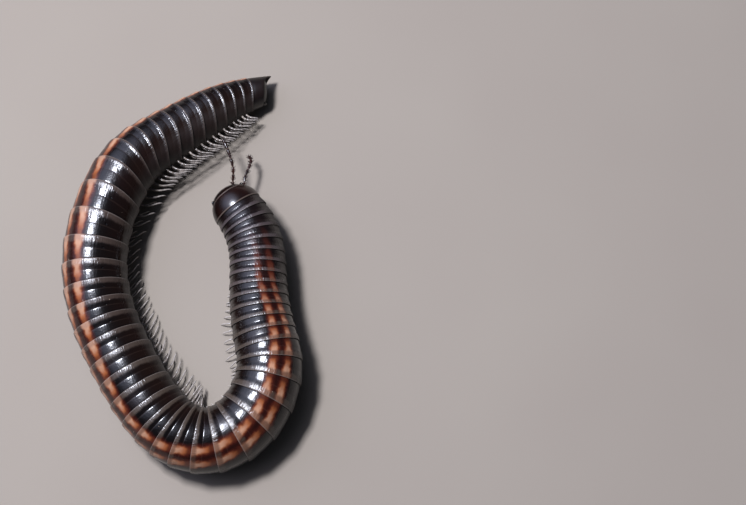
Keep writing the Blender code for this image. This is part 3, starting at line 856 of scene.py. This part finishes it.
def smooth_cuticle(name, colours, roughness, depth_mm, size_mm, *coats, **uniform):
    """Smooth cuticle, clouded between two colours, with coats that follow the marks of its mesh."""
    material, tree, shader = new_material(name, **uniform)
    where = add(tree, "TexCoord", output="Object")
    fine = add(tree, "TexNoise", where, 1 / (FINE_GRAIN * MM), 2.0)
    cloud = add(tree, "TexNoise", where, 1 / (size_mm * MM), 3.0)
    colour = add(tree, "Mix", add(tree, "MapRange", cloud, 0.4, 0.7, **SMOOTH), *colours, **PAINT)
    for mark, start, end, most, paint in coats:
        value = add(tree, "Attribute", attribute_name=mark, output="Fac")
        amount = add(tree, "MapRange", value, start, end, 0, most, **SMOOTH)
        colour = add(tree, "Mix", amount, colour, paint, **PAINT)
    rough = add(tree, "MapRange", fine, 0, 1, *roughness)
    normal = add(tree, "Bump", 1.0, depth_mm * MM, None, cloud if depth_mm > CLOUD_RELIEF else fine)
    finish_material(tree, shader, Base_Color=colour, Roughness=rough, Normal=normal)
    return material


def collum_cuticle():
    """Cuticle of the collum: dark red-brown and very smooth, with a pale clear margin before and behind."""
    margins = (("along", 0.08, 0.03, 0.6, "#61544b"), ("along", 0.92, 0.95, 0.6, "#61544b"))
    return smooth_cuticle(
        "smooth_cuticle_red_brown", ("#110706", "#1e0c08"), (0.18, 0.30), 0.003, 0.9, *margins, IOR=1.5
    )


def head_cuticle():
    """Cuticle of the head: nearly black, hard and polished, a little red where it thins."""
    return smooth_cuticle("polished_cuticle_black", ("#080404", "#190b08"), (0.12, 0.26), 0.004, 0.6, IOR=1.5)


def tail_cuticle():
    """Cuticle of the last ring: satin black-brown, turning brown and clearer towards the spur."""
    spur = ("turn", 30.0, 8.0, 0.7, "#341813")
    return smooth_cuticle(
        "smooth_cuticle_tail", ("#090505", "#150a08"), (0.32, 0.44), 0.004, 0.7, spur, IOR=1.5
    )


def valve_cuticle():
    """Cuticle of the anal valves and the plate under them: dark, satin and slightly wrinkled."""
    return smooth_cuticle("satin_cuticle_valve", ("#070403", "#100807"), (0.3, 0.45), 0.015, 0.4, IOR=1.5)


def lens_cuticle():
    """Clear cuticle of the eye's lenses over black pigment: a bead-like shine on each."""
    return smooth_cuticle("lens_cuticle_black", ("#030202", "#0c0706"), (0.05, 0.13), 0.001, 0.2, IOR=1.5)


def feeler_cuticle():
    """Thin cuticle of the feelers: dark red-brown articles, pale and clearer where each is narrow."""
    ends = (("along", 0.22, 0.08, 0.75, "#816f60"), ("along", 0.86, 0.97, 0.75, "#816f60"))
    return smooth_cuticle(
        "thin_cuticle_feeler", ("#1b0c0a", "#2f1812"), (0.16, 0.30), 0.004, 0.5, *ends, IOR=1.5
    )


def leg_cuticle():
    """Thin cuticle of the legs: greyish brown, half clear, and paler towards the toe."""
    paler = ("along", 0.25, 0.9, 1.0, "#a09891")
    return smooth_cuticle(
        "thin_cuticle_leg", ("#615851", "#81766c"), (0.16, 0.30), 0.004, 0.7, paler, IOR=1.5
    )


def floor_paint():
    """Matt pale paint of a studio table, very slightly uneven."""
    material, tree, shader = new_material("matt_paint_pale", Roughness=0.8)
    where = add(tree, "TexCoord", output="Object")
    cloud = add(tree, "TexNoise", where, 1 / (PAINT_CLOUD * MM), 2.0)
    colour = add(tree, "Mix", cloud, "#80766b", "#867d71", **PAINT)
    finish_material(tree, shader, Base_Color=colour)
    return material


# Studio


def make_floor():
    half = FLOOR_SIDE * MM / 2
    mesh = bpy.data.meshes.new("floor")
    spots = [(-half, -half, 0), (half, -half, 0), (half, half, 0), (-half, half, 0)]
    mesh.from_pydata(spots, [], [(0, 1, 2, 3)])
    mesh.materials.append(floor_paint())
    floor = bpy.data.objects.new("floor", mesh)
    bpy.context.scene.collection.objects.link(floor)
    floor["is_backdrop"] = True


def view_way(tilt_up, tilt_left):
    """Direction from the target, tilted from the camera's own by these angles in the picture."""
    up, left = math.radians(90 - CAMERA_ELEVATION - tilt_up), math.radians(tilt_left)
    way = Vector((-math.sin(left), -math.sin(up) * math.cos(left), math.cos(up) * math.cos(left)))
    return way.normalized()


def make_light(name, way, distance, sides, power, colour):
    """A flat soft light that points at the middle of the body."""
    data = bpy.data.lights.new(name, "AREA")
    data.shape = "RECTANGLE"
    data.size, data.size_y = sides[0] * MM, sides[1] * MM
    data.energy = power
    data.color = linear(colour)[:3]
    light = bpy.data.objects.new(name, data)
    light.location = way * distance * MM
    light.rotation_euler = way.to_track_quat("Z", "Y").to_euler()
    bpy.context.scene.collection.objects.link(light)


def make_studio():
    """A dim cool dome with a soft bright glow, and the key light before it."""
    world = bpy.data.worlds.new("studio")
    world.use_nodes = True
    tree = world.node_tree
    direction = add(tree, "TexCoord", output="Generated")
    middle = view_way(*GLOW_TILT)
    towards = add(tree, "VectorMath", direction, middle, operation="DOT_PRODUCT", output="Value")
    glow = add(tree, "MapRange", towards, math.cos(math.radians(GLOW_ANGLE)), 1, **SMOOTH)
    strength = add(tree, "Math", glow, GLOW_STRENGTH, DOME_STRENGTH, **TIMES_PLUS)
    colour = add(tree, "Mix", glow, "#a9b4cb", "#ccd2f2", **PAINT)
    finish_material(tree, tree.nodes["Background"], Color=colour, Strength=strength)
    bpy.context.scene.world = world
    make_light("key", view_way(*KEY_TILT), KEY_DISTANCE, KEY_SIDES, KEY_POWER, "#eef2ff")
    bpy.context.scene.view_settings.view_transform = "Standard"


def make_camera():
    data = bpy.data.cameras.new("camera")
    data.lens = CAMERA_LENS
    data.sensor_width = CAMERA_SENSOR
    camera = bpy.data.objects.new("camera", data)
    way = view_way(0, 0)
    camera.location = (Vector(CAMERA_TARGET) + way * CAMERA_DISTANCE) * MM
    camera.rotation_euler = way.to_track_quat("Z", "Y").to_euler()
    bpy.context.scene.collection.objects.link(camera)
    bpy.context.scene.camera = camera


def corners(box):
    return [list(corner) for corner in box]


def main():
    make_camera()
    make_floor()
    make_studio()
    make_rings(ring_cuticle())
    make_legs(leg_cuticle())
    make_collum(collum_cuticle())
    black = head_cuticle()
    make_head(black)
    make_mouthparts(black)
    make_eyes(lens_cuticle())
    make_feelers(feeler_cuticle())
    make_tail(tail_cuticle(), valve_cuticle())
    {"frame": corners(frame_box), "visual": corners(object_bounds())}


main()
